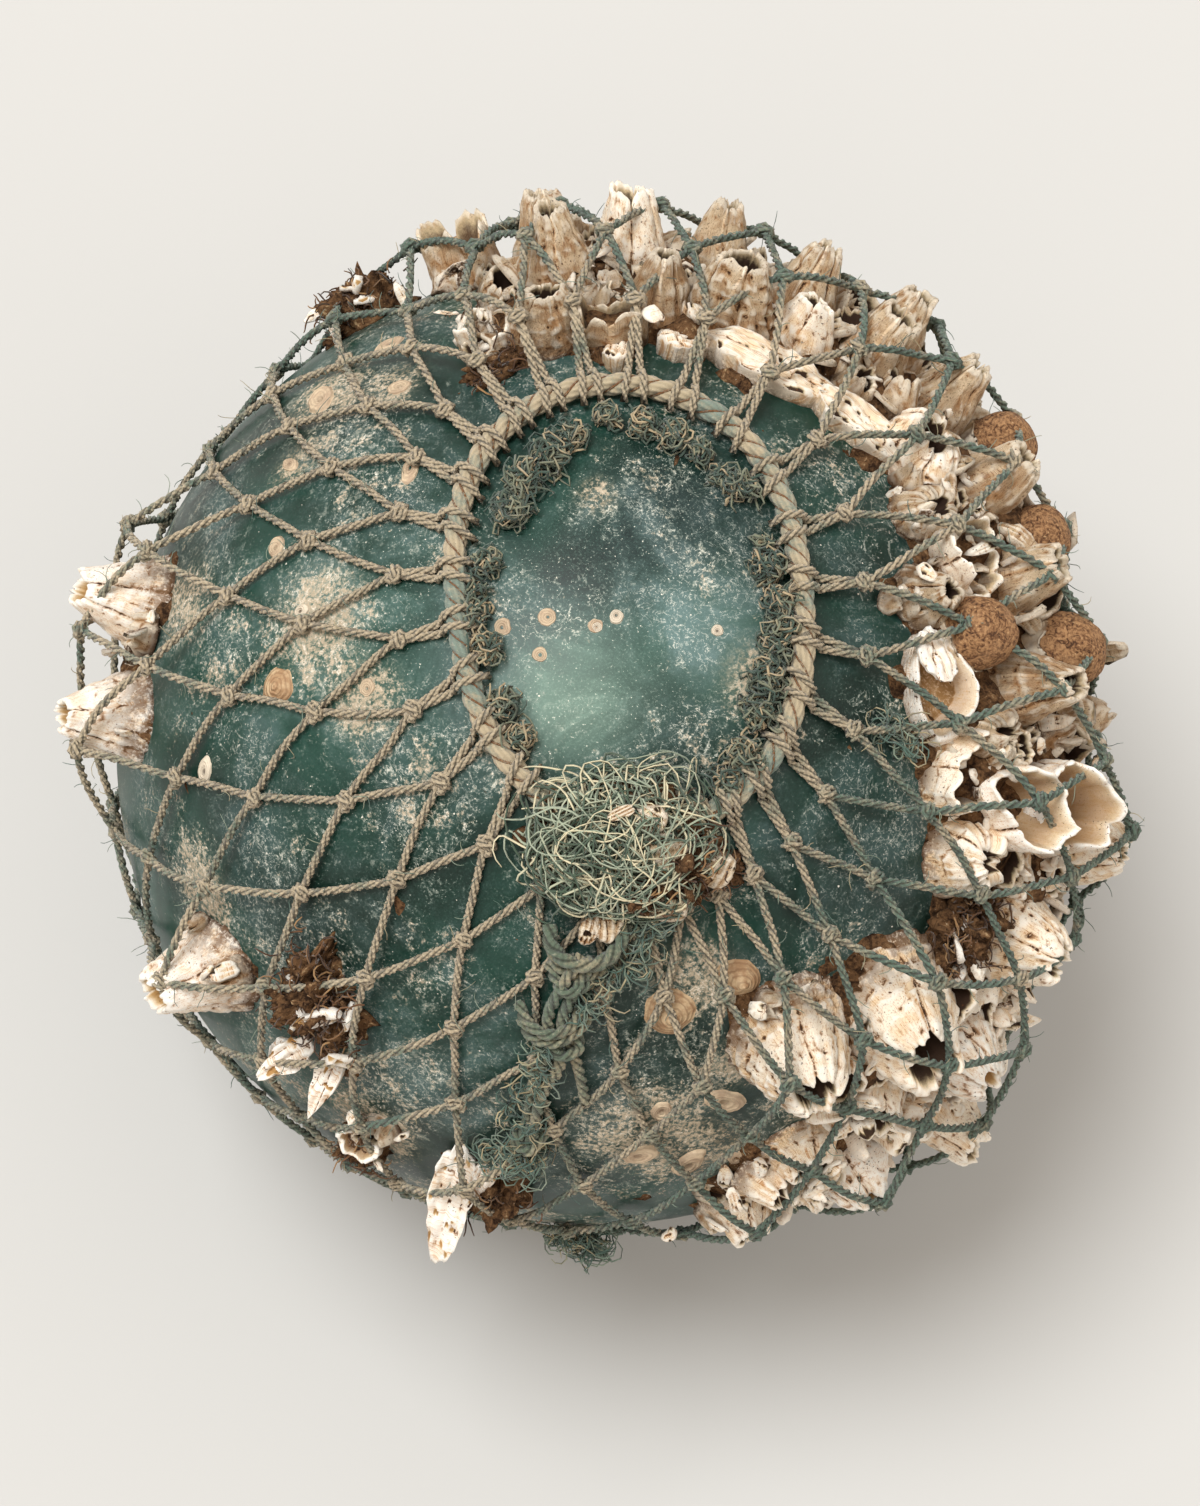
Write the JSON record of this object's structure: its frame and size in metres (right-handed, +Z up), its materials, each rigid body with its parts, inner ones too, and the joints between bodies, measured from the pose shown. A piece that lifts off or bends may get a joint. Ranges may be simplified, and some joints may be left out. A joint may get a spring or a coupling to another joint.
{
  "type": "glass float ball",
  "caption": "Round blown glass fishing float in a knotted twine net with a rope collar, grown over on one side with barnacles and shells.",
  "frame": {"origin": "centre of the small flat under the glass ball, on the surface it stands on", "axes": "+Z up through the middle of the rope collar; the laced seam and fibre nest are on the -Y side"},
  "size_m": [0.3487, 0.3215, 0.3095],
  "materials": {
    "glass": "deep teal-green glass, scratched, with dried tan dirt and salt haze",
    "rope": "weathered three-strand laid rope, grey-tan over green",
    "twine": "weathered laid twine, beige dust over teal-green",
    "fibre": "frayed twine fibres, teal-grey to straw",
    "shell": "chalky cream and white shell with tan and brown grooves",
    "brown_shell": "matt brown skin, pitted",
    "brown_growth": "dry matted brown sea growth"
  },
  "bodies": {
    "root": {"barnacle_1": "shell", "barnacle_10": "shell", "barnacle_11": "shell", "barnacle_12": "shell", "barnacle_13": "shell", "barnacle_14": "shell", "barnacle_15": "shell", "barnacle_16": "shell", "barnacle_17": "shell", "barnacle_18": "shell", "barnacle_19": "shell", "barnacle_2": "shell", "barnacle_20": "shell", "barnacle_21": "shell", "barnacle_22": "shell", "barnacle_23": "shell", "barnacle_24": "shell", "barnacle_25": "shell", "barnacle_26": "shell", "barnacle_27": "shell", "barnacle_28": "shell", "barnacle_3": "shell", "barnacle_4": "shell", "barnacle_5": "shell", "barnacle_6": "shell", "barnacle_7": "shell", "barnacle_8": "shell", "barnacle_9": "shell", "base_ring": "rope", "broken_shell_1": "shell", "broken_shell_2": "shell", "broken_shell_3": "shell", "broken_shell_4": "shell", "broken_shell_5": "shell", "broken_shell_6": "shell", "broken_shell_7": "shell", "broken_shell_8": "shell", "brown_clump_1": "brown_growth", "brown_clump_2": "brown_growth", "brown_clump_3": "brown_growth", "brown_dome_1": "brown_shell", "brown_dome_2": "brown_shell", "brown_dome_3": "brown_shell", "brown_dome_4": "brown_shell", "collar_ring": "rope", "fibre_nest": "fibre", "glass_ball": "glass", "lacing": "twine", "net": "twine", "oyster_shell_1": "shell", "rock_barnacle_1": "shell", "rock_barnacle_2": "shell", "rock_barnacle_3": "shell", "rock_barnacle_4": "shell", "shell_plate_1": "shell", "shell_plate_2": "shell", "shell_plate_3": "shell", "shell_plate_4": "shell", "shell_plate_5": "shell", "shell_plate_6": "shell"}
  },
  "joints": []
}
